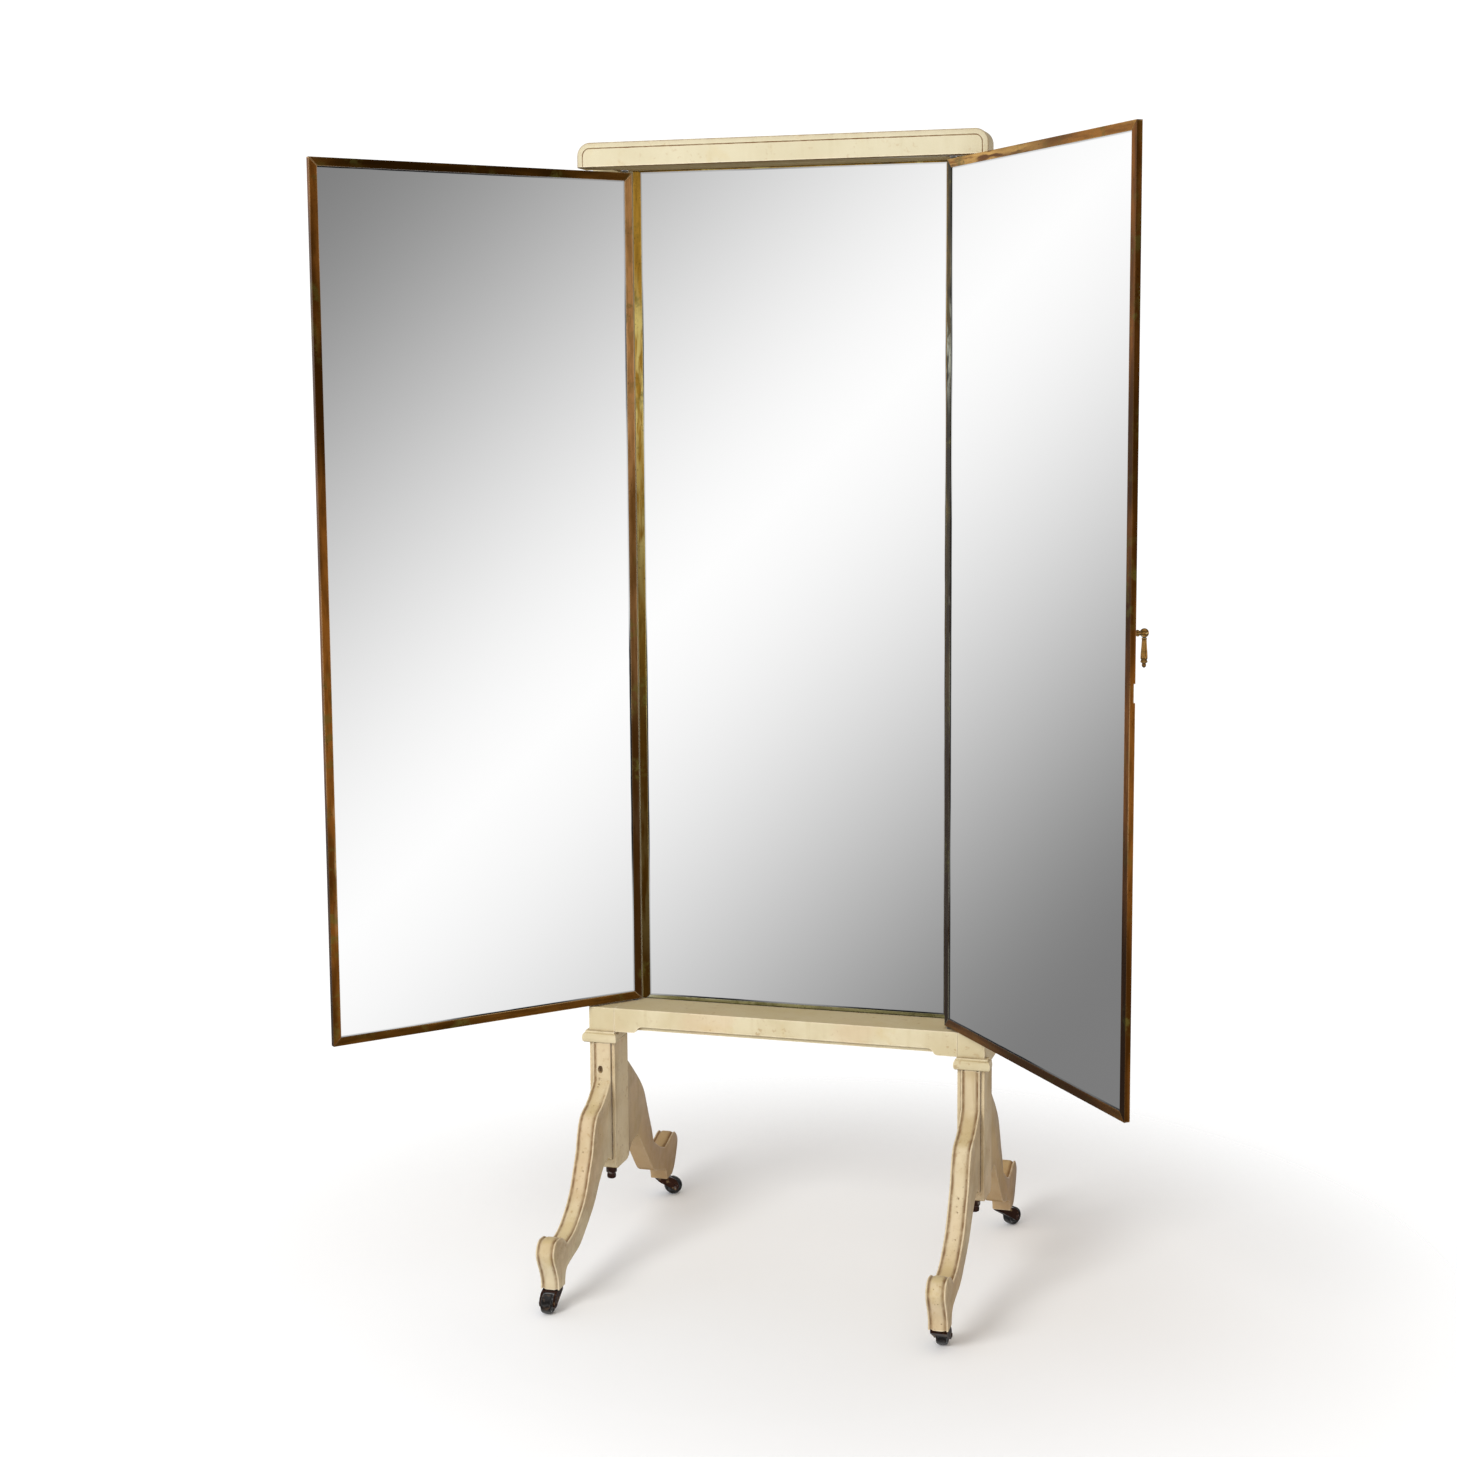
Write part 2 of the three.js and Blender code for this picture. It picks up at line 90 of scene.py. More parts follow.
class Nodes:
    """Builds up a node tree."""

    def __init__(self, tree):
        self.tree = tree

    def node(self, kind, inputs=None, **settings):
        new = self.tree.nodes.new("ShaderNode" + kind)
        for key, value in settings.items():
            setattr(new, key, value)
        for key, value in (inputs or {}).items():
            self.feed(new.inputs[key], value)
        return new

    def feed(self, socket, value):
        if isinstance(value, bpy.types.NodeSocket):
            self.tree.links.new(value, socket)
        else:
            socket.default_value = value

    def math(self, operation, a, b=0.0, clamp=False):
        new = self.node("Math", {0: a, 1: b}, operation=operation, use_clamp=clamp)
        return new.outputs[0]

    def times(self, a, b):
        return self.math("MULTIPLY", a, b)

    def place(self, stretch=(1, 1, 1), space="Object"):
        coords = self.node("TexCoord").outputs[space]
        return self.node("Mapping", {"Vector": coords, "Scale": stretch}).outputs[0]

    def noise(self, scale, detail=3.0, stretch=(1, 1, 1)):
        return self.node("TexNoise", {"Vector": self.place(stretch), "Scale": scale,
                                      "Detail": detail, "Roughness": 0.55}).outputs["Fac"]

    def band(self, value, low, high, out=(0.0, 1.0)):
        """value from low to high becomes out[0] to out[1], smoothly and without overshoot."""
        new = self.node("MapRange", {"Value": value, "From Min": low, "From Max": high,
                                     "To Min": out[0], "To Max": out[1]},
                        interpolation_type="SMOOTHSTEP")
        return new.outputs[0]

    def patches(self, scale, detail, low, high, out=(0.0, 1.0), stretch=(1, 1, 1)):
        """Soft patches of noise: out[1] inside them, out[0] between them."""
        return self.band(self.noise(scale, detail, stretch), low, high, out)

    def height(self):
        return self.node("SeparateXYZ", {0: self.place()}).outputs["Z"]

    def mix(self, factor, a, b):
        new = self.node("Mix", data_type="RGBA")
        for socket, value in ((0, factor), (6, a), (7, b)):
            self.feed(new.inputs[socket], value)
        return new.outputs[2]

    def bump(self, height, distance, strength=1.0, normal=None):
        new = self.node("Bump", {"Height": height, "Distance": distance, "Strength": strength})
        if normal is not None:
            self.feed(new.inputs["Normal"], normal)
        return new.outputs[0]

    def edge(self, reach):
        """1 on outward edges, 0 further than reach from them."""
        deep = self.node("AmbientOcclusion", {"Distance": reach}, samples=6, inside=True).outputs["AO"]
        return self.band(deep, 0.55, 0.95, (1.0, 0.0))

    def crevice(self, reach, low, high):
        """1 in corners and grooves narrower than reach, 0 on open faces."""
        open_share = self.node("AmbientOcclusion", {"Distance": reach}, samples=6).outputs["AO"]
        return self.band(open_share, low, high, (1.0, 0.0))


class Shader(Nodes):
    """A node material, built up from its principled shader."""

    def __init__(self, name):
        self.material = bpy.data.materials.new(name)
        self.material.use_nodes = True
        super().__init__(self.material.node_tree)
        self.principled = self.tree.nodes["Principled BSDF"]

    def set(self, **inputs):
        for key, value in inputs.items():
            self.feed(self.principled.inputs[key.replace("_", " ")], value)


def rgb(red, green, blue):
    """An sRGB colour, 0 to 255, as the shader's linear one."""
    def linear(c):
        c /= 255
        return c / 12.92 if c <= 0.04045 else ((c + 0.055) / 1.055) ** 2.4
    return (linear(red), linear(green), linear(blue), 1.0)


WOOD = rgb(96, 62, 38)  # bare where the paint has chipped
# Brown of the painted shade in corners and leg grooves, and of the top board's scored line and rounded edge
BROWN_SHADE_AND_LINE = rgb(120, 84, 46)
YELLOWED_PAINT = rgb(202, 180, 122)
ROSY_PAINT = rgb(216, 190, 158)
UPWARD_FACE_TAN = rgb(198, 178, 130)
UNDERSIDE_SHADE = rgb(142, 118, 66)
BROWNED_FOOT = rgb(160, 124, 84)
STAIN = rgb(168, 134, 88)
EDGE_HIGHLIGHT = rgb(242, 230, 202)
SUNK_BRASS = rgb(58, 32, 6)
OLIVE_BLOOM = rgb(112, 106, 48)
BRASS_SPECK = rgb(48, 26, 10)
BRASS_CORNER_SHADE = rgb(26, 14, 4)
METAL_CORNER_SHADE = rgb(14, 10, 8)
SILVERED = rgb(255, 255, 255)
# Blue-black of the painted shadow that the frame's lip casts on the mirror glass
LIP_SHADOW = rgb(18, 24, 30)


def cream_paint(name, light, deep, chips=0.5, bump=1.0, wear=1.0, browned=None):
    """Old oil paint on wood: uneven colour, brush marks, painted brown shade in its corners and grooves,
    painted highlights on its edges and painted shade on faces that look down.
    Between the two heights in browned it turns brown towards the floor."""
    s = Shader(name)
    slow_cloud = s.noise(9, 4)
    colour = s.mix(s.band(slow_cloud, 0.36, 0.66, (0, wear)), light, deep)
    colour = s.mix(s.patches(70, 4, 0.5, 0.72, (0, 0.6 * wear), (1, 1, 0.1)), colour, deep)
    colour = s.mix(s.patches(22, 5, 0.55, 0.75, (0, 0.45 * wear)), colour, YELLOWED_PAINT)
    colour = s.mix(s.patches(5, 2, 0.5, 0.62, (0, 0.35 * wear)), colour, ROSY_PAINT)
    facing = s.node("SeparateXYZ", {0: s.node("NewGeometry").outputs["Normal"]}).outputs["Z"]
    # Faces that look up are tinted tan.
    colour = s.mix(s.band(facing, 0.7, 0.95, (0, 0.6)), colour, UPWARD_FACE_TAN)
    # Painted shade: faces that look down are made olive-brown, as if in shade.
    colour = s.mix(s.band(facing, -0.95, -0.5, (0.7, 0)), colour, UNDERSIDE_SHADE)
    if browned:
        uneven_height = s.math("ADD", s.height(), s.band(slow_cloud, 0.3, 0.7, (-0.05, 0.05)))
        colour = s.mix(s.band(uneven_height, *browned, (0.6, 0)), colour, BROWNED_FOOT)
    stain = s.times(s.patches(130, 4, 0.56, 0.7, (0, 0.5 * wear)), s.patches(14, 3, 0.45, 0.6))
    colour = s.mix(stain, colour, STAIN)
    flaw = s.times(s.patches(300, 2, 0.66, 0.71), s.patches(23, 3, 0.5, 0.66, (0, chips)))
    colour = s.mix(flaw, colour, WOOD)
    # Painted shade: corners and narrow gaps, where shade falls, are made brown in uneven patches.
    darkening = s.times(s.crevice(0.010, 0.35, 0.85), s.patches(60, 4, 0.25, 0.65, (0.25, 0.8)))
    darker_here = s.node("Attribute", attribute_name="darker_here").outputs["Fac"]
    darker_here = s.times(darker_here, s.patches(70, 4, 0.3, 0.65, (0.5, 1)))
    # The same brown is painted into the leg grooves as shade, and onto the top board's scored line and
    # rounded edge.
    colour = s.mix(s.math("MAXIMUM", darkening, darker_here, clamp=True), colour, BROWN_SHADE_AND_LINE)
    # Painted highlight: the outward edges are made light cream, in patches.
    rim_highlight = s.times(s.edge(0.0025), s.patches(90, 4, 0.42, 0.62, (0.7, 0.2)))
    colour = s.mix(rim_highlight, colour, EDGE_HIGHLIGHT)
    gloss = s.times(s.band(facing, 0.5, 0.9, (0.35, 0.08)), s.band(facing, -0.9, -0.5))
    s.set(Base_Color=colour, Roughness=s.patches(30, 3, 0.3, 0.7, (0.34, 0.55)), Specular_IOR_Level=gloss)
    brush = s.bump(s.noise(420, 2, (1, 1, 0.08)), 0.00025, 0.5 * bump)
    soft = s.bump(s.noise(35, 3), 0.0008, 0.5 * bump, brush)
    s.set(Normal=s.bump(flaw, 0.0004, -0.6, soft))
    return s.material


def aged_brass(name, stretch, dark, middle, bright, shine=(0.18, 0.36), level=(0.38, 0.6), sinks=None,
               gleams=(0.52, 0.64)):
    """Brass gone brown: slow changes along the bar, painted highlights in patches and along the arrises,
    olive and dark specks, and painted shade in its corners.
    Between the two heights in sinks it turns dark towards the floor."""
    s = Shader(name)
    slow = s.noise(16, 3, stretch)
    colour = s.mix(s.band(slow, *level), dark, middle)
    colour = s.mix(s.patches(150, 4, 0.4, 0.65, (0, 0.45), stretch), colour, dark)
    # Painted highlights: patches of the bright colour, where light would glint on the brass.
    gleam = s.times(s.patches(11, 4, *gleams, stretch=stretch), s.patches(90, 3, 0.4, 0.55, stretch=stretch))
    colour = s.mix(gleam, colour, bright)
    if sinks:
        uneven_height = s.math("ADD", s.height(), s.band(slow, 0, 1, (-0.3, 0.3)))
        colour = s.mix(s.band(uneven_height, *sinks, (0.92, 0)), colour, SUNK_BRASS)
    # Painted highlight along the outward edges.
    arris_highlight = s.times(s.edge(0.0016), s.patches(16, 4, 0.46, 0.6, (0.1, 0.85), stretch))
    colour = s.mix(arris_highlight, colour, bright)
    olive = s.times(s.patches(70, 4, 0.45, 0.65, (0, 0.55)), s.patches(12, 2, 0.5, 0.62))
    colour = s.mix(olive, colour, OLIVE_BLOOM)
    speck = s.times(s.patches(420, 3, 0.6, 0.7, (0, 0.8)), s.patches(30, 3, 0.42, 0.6))
    colour = s.mix(speck, colour, BRASS_SPECK)
    # Painted shade: dark in corners and narrow gaps.
    colour = s.mix(s.crevice(0.0035, 0.55, 0.93), colour, BRASS_CORNER_SHADE)
    s.set(Base_Color=colour, Metallic=1.0, Roughness=s.band(slow, 0.3, 0.7, shine))
    s.set(Normal=s.bump(s.noise(600, 3), 0.0001, 0.3, s.bump(s.noise(90, 3), 0.0003, 0.4)))
    return s.material


def silvered_glass(name, width=0.56, height=1.406):
    """Mirror plate of about this size. A thin dark line is painted on it where it comes out from under the
    frame:
    painted shadow of the frame's lip, uneven along its length."""
    s = Shader(name)
    where = s.node("SeparateXYZ", {0: s.place(space="Generated")})

    def from_edge(value, size):
        return s.times(s.math("MINIMUM", value, s.math("SUBTRACT", 1.0, value)), size)

    nearest = s.math("MINIMUM", from_edge(where.outputs["X"], width), from_edge(where.outputs["Z"], height))
    wander = s.patches(25, 3, 0.3, 0.7, (0.0, 0.0003))
    line = s.band(s.math("SUBTRACT", nearest, wander), 0.0112, 0.0126, (1, 0))
    # Painted shadow of the frame's lip, stronger and weaker along the edge.
    lip_shadow_mask = s.times(line, s.patches(2.2, 1, 0.42, 0.56, (0.25, 1)))
    s.set(Base_Color=s.mix(lip_shadow_mask, SILVERED, LIP_SHADOW), Metallic=1.0,
          Roughness=s.band(lip_shadow_mask, 0, 1, (0.01, 0.2)))
    return s.material


def dark_metal(name, base, worn, metallic, shine, chips=(0.55, 0.7)):
    """Steel, iron or hard black rubber with worn patches, and painted shade in its corners."""
    s = Shader(name)
    colour = s.mix(s.patches(90, 5, *chips), base, worn)
    # Painted shade in the corners.
    colour = s.mix(s.crevice(0.005, 0.3, 0.9), colour, METAL_CORNER_SHADE)
    s.set(Base_Color=colour, Metallic=metallic, Roughness=s.patches(60, 3, 0.3, 0.7, shine))
    s.set(Normal=s.bump(s.noise(350, 3), 0.0002, 0.5))
    return s.material


# How the noise is stretched along upright and level bars
UPRIGHT = (1, 1, 0.15)
LEVEL = (0.15, 0.15, 1)
CREAM = cream_paint("cream_paint", rgb(218, 208, 176), rgb(204, 191, 154), chips=0.3)
TOP_CREAM = cream_paint("cream_top", rgb(211, 204, 176), rgb(199, 190, 158), chips=0.12, wear=0.5)
LEG_CREAM = cream_paint("cream_leg", rgb(216, 201, 168), rgb(190, 170, 130), chips=0.95, bump=1.5)
REAR_CREAM = cream_paint("cream_rear", rgb(208, 190, 152), rgb(182, 160, 118), chips=0.8, bump=1.5,
                         browned=(0.08, 0.28))
BACK_CREAM = cream_paint("cream_back", rgb(212, 201, 170), rgb(198, 184, 148), chips=0.2, wear=0.4)
# All the frame's brass is one metal. The copies below differ by the light, shade and reflection painted into
# each bar's colour.
BRASS_OUTER = aged_brass("brass_outer", UPRIGHT, rgb(74, 42, 10), rgb(158, 98, 38), rgb(255, 210, 150),
                         gleams=(0.63, 0.72))
# Painted highlights: the left wing's hinge stile, bright.
BRASS_HINGE = aged_brass("brass_hinge", UPRIGHT, rgb(120, 78, 30), rgb(214, 156, 96), rgb(255, 222, 170),
                         sinks=(0.85, 1.7))
# Painted grey sheen: the right wing's hinge stile, as it looks reflecting grey.
BRASS_GREY_SHEEN = aged_brass("brass_grey_sheen", (1, 1, 0.3), rgb(40, 38, 26), rgb(112, 92, 50), rgb(186, 188, 170),
                          level=(0.46, 0.62), gleams=(0.52, 0.66), sinks=(0.5, 1.7))
# Painted shade: the left wing's bars, darker.
BRASS_SHADED = aged_brass("brass_shaded", LEVEL, rgb(60, 36, 8), rgb(122, 78, 28), rgb(240, 196, 130),
                        gleams=(0.64, 0.74))
# Painted light: the right wing's bars, lighter.
BRASS_LIT = aged_brass("brass_lit", LEVEL, rgb(108, 66, 20), rgb(180, 120, 50), rgb(236, 186, 104),
                        gleams=(0.54, 0.7))
BRASS_CENTRE = aged_brass("brass_centre", UPRIGHT, rgb(122, 86, 22), rgb(206, 156, 60), rgb(255, 230, 140),
                          level=(0.36, 0.52), sinks=(0.9, 1.75))
# Painted pale reflection: the centre frame's bottom bar.
BRASS_SHELF = aged_brass("brass_shelf", LEVEL, rgb(92, 84, 48), rgb(186, 176, 120), rgb(242, 238, 214),
                         level=(0.32, 0.5))
BRASS_POLISHED = aged_brass("brass_polished", (1, 1, 1), rgb(104, 66, 30), rgb(176, 130, 66),
                            rgb(252, 228, 164), shine=(0.1, 0.22))
SILVER = silvered_glass("mirror_glass")
STEEL = dark_metal("steel", rgb(150, 146, 138), rgb(92, 74, 56), 1.0, (0.25, 0.5))
DARK_STEEL = dark_metal("dark_steel", rgb(72, 48, 40), rgb(170, 160, 150), 0.9, (0.22, 0.4), (0.52, 0.66))
IRON = dark_metal("castor_iron", rgb(58, 32, 20), rgb(150, 120, 84), 0.85, (0.22, 0.45), (0.56, 0.68))
BLACK = dark_metal("castor_wheel", rgb(18, 15, 14), rgb(74, 58, 44), 0.0, (0.12, 0.3), (0.56, 0.74))


# ---------------------------------------------------------------- meshes


SAME_CORNER = 0.01  # distance below which two corners are one
FLAT_DEGREES = 1  # angle below which two faces are one
ON_AXIS = 1e-6
ARRIS_SEGMENTS = 3


def cad_copy(node):
    """A CAD node's solid with shared corners and whole flat faces."""
    bm = bmesh.new()
    bm.from_mesh(frame["nodes"][node].data)
    bmesh.ops.remove_doubles(bm, verts=bm.verts, dist=SAME_CORNER * MM)
    bmesh.ops.dissolve_limit(bm, angle_limit=math.radians(FLAT_DEGREES), verts=bm.verts, edges=bm.edges)
    return bm


def mesh_object(name, bm, material, sharp=35):
    """Makes the object, smooth except where its faces meet at more than sharp degrees."""
    bmesh.ops.recalc_face_normals(bm, faces=bm.faces)
    for face in bm.faces:
        face.smooth = True
    for edge in bm.edges:
        edge.smooth = len(edge.link_faces) == 2 and edge.calc_face_angle() < math.radians(sharp)
    mesh = bpy.data.meshes.new(name)
    bm.to_mesh(mesh)
    bm.free()
    mesh.materials.append(material)
    obj = bpy.data.objects.new(name, mesh)
    bpy.context.scene.collection.objects.link(obj)
    return obj


def piece(name, bm, material, body, nodes=(), bevel=0.0, sharp=35):
    """A mesh object with its edges rounded by bevel mm, put on its body in place of CAD nodes."""
    obj = mesh_object(name, bm, material, sharp)
    if bevel:
        round_off = obj.modifiers.new("edges", "BEVEL")
        round_off.width = bevel * MM
        round_off.segments = ARRIS_SEGMENTS
        round_off.limit_method = "ANGLE"
        round_off.angle_limit = math.radians(sharp)
        round_off.harden_normals = True
    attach(obj, body)
    if nodes:
        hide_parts(*nodes)
    return obj


def rounded(node, material, body, bevel, sharp=35):
    return piece("look_" + node, cad_copy(node), material, body, [node], bevel, sharp)


def carve(obj, cutter):
    """Cuts one mesh object out of another for good, and drops the cutter."""
    step = obj.modifiers.new("carve", "BOOLEAN")
    step.object = cutter
    step.solver = "EXACT"
    bpy.context.view_layer.update()
    done = obj.evaluated_get(bpy.context.evaluated_depsgraph_get())
    mesh = bpy.data.meshes.new_from_object(done)
    obj.modifiers.clear()
    obj.data = mesh
    bpy.data.objects.remove(cutter)


def lathe(profile, segments=48):
    """A turned solid about local Z, from (radius, height) pairs in mm that start and end on the axis
    or close on themselves."""
    bm = bmesh.new()
    rings = []
    for radius, height in profile:
        if radius < ON_AXIS:
            rings.append([bm.verts.new((0, 0, height * MM))])
        else:
            turns = (2 * math.pi * k / segments for k in range(segments))
            rings.append([bm.verts.new((radius * MM * math.cos(t), radius * MM * math.sin(t), height * MM))
                          for t in turns])
    closed = profile[0][0] > ON_AXIS
    for a, b in zip(rings, rings[1:] + ([rings[0]] if closed else [])):
        for k in range(segments):
            corners = [a[k % len(a)], a[(k + 1) % len(a)], b[(k + 1) % len(b)], b[k % len(b)]]
            unique = list(dict.fromkeys(corners))
            if len(unique) > 2:
                bm.faces.new(unique)
    return bm


def rod(radius, foot, top):
    return lathe([(0, foot), (radius, foot), (radius, top), (0, top)])


def aim(z_axis, place):
    """Matrix that stands local Z along z_axis at a place in metres."""
    return Matrix.Translation(place) @ Vector(z_axis).to_track_quat("Z", "Y").to_matrix().to_4x4()


def moved(bm, matrix):
    bmesh.ops.transform(bm, matrix=matrix, verts=bm.verts)
    return bm


def upright(bm, place, height=0):
    """Stands a turned solid over this place, with its zero at this height in metres."""
    return moved(bm, Matrix.Translation((place.x, place.y, height)))


def side_outline(node):
    """The ordered (y, z) outline, in metres, of a board that lies in the YZ plane."""
    bm = cad_copy(node)
    flat = [f for f in bm.faces if abs(f.normal.x) > 0.99]
    loop = [Vector((v.co.y, v.co.z)) for v in max(flat, key=lambda f: f.calc_area()).verts]
    bm.free()
    area = sum(a.x * b.y - b.x * a.y for a, b in zip(loop, loop[1:] + loop[:1]))
    return loop if area > 0 else loop[::-1]


def flowing(loop, step, corner=30):
    """The closed outline resampled along smooth curves, with its real corners kept."""
    count = len(loop)
    turn = [(loop[i] - loop[i - 1]).angle(loop[(i + 1) % count] - loop[i]) for i in range(count)]
    kept = [t > math.radians(corner) for t in turn]
    out = []
    for i in range(count):
        a, b = loop[i], loop[(i + 1) % count]
        before = a - (b - a) if kept[i] else loop[i - 1]
        after = b + (b - a) if kept[(i + 1) % count] else loop[(i + 2) % count]
        reach = (b - a).length
        pieces = max(1, round(reach / step))
        leave = (b - before).normalized() * reach
        arrive = (after - a).normalized() * reach
        for k in range(pieces):
            t = k / pieces
            out.append(a * (2 * t**3 - 3 * t**2 + 1) + leave * (t**3 - 2 * t**2 + t)
                       + b * (3 * t**2 - 2 * t**3) + arrive * (t**3 - t**2))
    return out


OUTLINE_STEP = 4
# Across a leg's edge, from its side to its middle: distance from the middle, plain depth, reeded depth and
# how much painted shade browns the paint there, in the grooves
REEDING = ((16.3, 1.5, 2.0, 0.35), (15.9, 0.65, 1.0, 0.2), (15.2, 0.15, 0.4, 0), (14.6, 0, 0.1, 0),
           (13.9, 0, 0.5, 0.1), (13.2, 0, 1.4, 0.5), (12.5, 0, 2.3, 0.8), (11.7, 0, 2.5, 0.85),
           (10.9, 0, 2.1, 0.8), (10.1, 0, 1.5, 0.6), (9.2, 0, 0.9, 0.42), (8.2, 0, 0.4, 0.2),
           (7, 0, 0.1, 0.06), (4, 0, 0, 0))
# An edge is reeded where it faces outward and up: the way it faces, and how nearly so where the reeding
# starts and where it is whole
REEDED_SIDE = (0.8, 0.6)
REEDED_FROM, REEDED_FULL = -0.06, 0.24
PLAIN_ABOVE = {"left_front_leg": (270, 310)}  # heights between which the right-hand bead dies out
OVER_THE_TOP = (9000, 10000)  # the same, for a leg whose bead runs all the way


def ease(t):
    """0 below 0 and 1 above 1, and smooth between."""
    t = min(1, max(0, t))
    return t * t * (3 - 2 * t)


def reeded_board(node, facing):
    """A leg board with a beaded outer edge. facing is -1 for a front leg, 1 for a rear one."""
    middle = middle_of(node).x
    loop = flowing(side_outline(node), OUTLINE_STEP * MM)
    outside = Vector((REEDED_SIDE[0] * facing, REEDED_SIDE[1]))
    start, stop = (height * MM for height in PLAIN_ABOVE.get(node, OVER_THE_TOP))
    columns = [*REEDING, *((-x, *rest) for x, *rest in reversed(REEDING))]
    bm = bmesh.new()
    darker_here = bm.verts.layers.float.new("darker_here")
    rows = []
    for i, point in enumerate(loop):
        along = (loop[(i + 1) % len(loop)] - loop[i - 1]).normalized()
        normal = Vector((along.y, -along.x))
        both = ease((normal.dot(outside) - REEDED_FROM) / (REEDED_FULL - REEDED_FROM))
        right_side = both * min(1, max(0, (stop - point.y) / (stop - start)))
        row = []
        for x, plain, reed, groove_shade in columns:
            reeded = right_side if x > 0 else both
            inside = point - normal * (plain + (reed - plain) * reeded) * MM
            vert = bm.verts.new((middle + x * MM, inside.x, inside.y))
            # Painted shade: how far the groove is browned, as shade in it.
            vert[darker_here] = groove_shade * reeded
            row.append(vert)
        rows.append(row)
    for a, b in zip(rows, rows[1:] + rows[:1]):
        for k in range(len(columns) - 1):
            bm.faces.new((a[k], b[k], b[k + 1], a[k + 1]))
    for column in (0, -1):
        bm.faces.new([row[column] for row in rows])
    return bm


# ---------------------------------------------------------------- carcass

for node in ("bottom_rail", "head_rail"):
    rounded(node, CREAM, "carcass", bevel=0.9)
rounded("backing_board", BACK_CREAM, "carcass", bevel=0.5)
for side in SIDES:
    rounded(f"{side}_block", CREAM, "carcass", bevel=0.7)
    rounded(f"{side}_post", CREAM, "carcass", bevel=1.2)
    rounded(f"{side}_collar", CREAM, "carcass", bevel=0.4, sharp=50)
    rounded(f"{side}_lower_post", LEG_CREAM, "carcass", bevel=1.4)

BOARD_CORNER = 22
CORNER_STEPS = 14
ARRIS = 1.2  # how far the board's lower edge is taken back at most
# Rings from the board's edge over its worn arris to the scored line: inset, depth from the face, and how
# much darker the paint is there
BOARD_RINGS = ((0, 2.2, 0), (0.4, 0.9, 0.65), (1.2, 0.2, 0.65), (2.4, 0, 0.15), (8.6, 0, 0), (9.3, 1.1, 1),
               (10.2, 1.1, 1), (10.9, 0, 0))
BUSH_BORE = (6.2, -1, 15.8)  # radius, and foot and top above the bush's foot


def scored_board(node):
    """The top board: rounded edges, and a fine line scored round its face except along the bottom."""
    low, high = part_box(node)
    corner = BOARD_CORNER * MM
    rings = [(0, high.y, 0), *((inset * MM, low.y + deep * MM, darkening) for inset, deep, darkening in BOARD_RINGS)]
    bm = bmesh.new()
    darker_here = bm.verts.layers.float.new("darker_here")
    rows = []
    for inset, y, darkening in rings:
        radius = corner - inset
        foot = low.z + min(inset, ARRIS * MM)
        path = [(low.x + inset, foot)]
        for centre_x, start in ((low.x + corner, 180), (high.x - corner, 90)):
            for k in range(CORNER_STEPS + 1):
                t = math.radians(start - 90 * k / CORNER_STEPS)
                path.append((centre_x + radius * math.cos(t), high.z - corner + radius * math.sin(t)))
        path.append((high.x - inset, foot))
        row = [bm.verts.new((x, y, z)) for x, z in path]
        for vert in row:
            vert[darker_here] = darkening
        rows.append(row)
    for a, b in zip(rows, rows[1:]):
        for k in range(len(a) - 1):
            bm.faces.new((a[k], a[k + 1], b[k + 1], b[k]))
    bm.faces.new(rows[0])
    bm.faces.new(rows[-1])
    bm.faces.new([row[0] for row in rows] + [row[-1] for row in reversed(rows)])
    return bm


board = piece("look_top_board", scored_board("top_board"), TOP_CREAM, "carcass",
              ["top_board"])
bore = upright(rod(*BUSH_BORE), middle_of("right_bush_top"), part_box("right_bush_top")[0].z)
carve(board, mesh_object("bore", bore, TOP_CREAM))


def face_at(node, height, facing):
    """Where a leg board's outer edge is at this height, as y in metres."""
    loop = side_outline(node)
    sides = zip(loop, loop[1:] + loop[:1])
    hits = [a.x + (b.x - a.x) * (height - a.y) / (b.y - a.y)
            for a, b in sides if (a.y - height) * (b.y - height) < 0]
    return min(hits) if facing < 0 else max(hits)


def dent(leg, node, x, z, wide, tall, deep):
    """Presses an oval pit into the front of a leg: turned with a radius of 1, then stretched."""
    place = Vector((middle_of(node).x + x * MM, face_at(node, z * MM, -1), z * MM))
    pit = lathe([(0, -deep), (0.85, -deep * 0.9), (1, -deep * 0.5), (1, 3), (0, 3)], 28)
    oval = Matrix.Diagonal((wide, tall, 1, 1))
    carve(leg, mesh_object("pit", moved(pit, aim((0, -1, 0), place) @ oval), LEG_CREAM))


def crack(leg, path, x_range, gap=0.6):
    """Opens a fine jagged line along a (y, z) path in carcass mm, from x_range[0] to x_range[1]."""
    bm = bmesh.new()
    sheets = []
    for x in x_range:
        lower = [bm.verts.new(at(x, y, z - gap / 2)) for y, z in path]
        upper = [bm.verts.new(at(x, y, z + gap / 2)) for y, z in path]
        sheets.append(lower + upper[::-1])
    for a, b in zip(range(len(sheets[0])), [*range(1, len(sheets[0])), 0]):
        bm.faces.new((sheets[0][a], sheets[0][b], sheets[1][b], sheets[1][a]))
    for sheet in sheets:
        bm.faces.new(sheet)
    carve(leg, mesh_object("gap", bm, LEG_CREAM))


# Dents by leg: across from the middle, height, half width, half height, depth
DENTS = {
    "left_front_leg": ((-2.3, 331, 4.8, 7, 13), (-3.5, 314, 1.5, 2, 0.9), (-3, 307, 1.3, 2.2, 0.9),
                       (-4, 303, 1, 1, 0.7), (-2, 214, 1.1, 2.4, 0.6), (3.5, 186, 1, 1.7, 0.6),
                       (-3, 160, 0.9, 2.5, 0.6)),
    "right_front_leg": ((1, 196, 1.2, 2.6, 0.7), (-0.5, 184, 1, 1.5, 0.6), (1.5, 176, 0.9, 2, 0.6),
                        (3, 140, 1.2, 1.6, 0.7)),
}
CRACK_X = (337.9, 341)
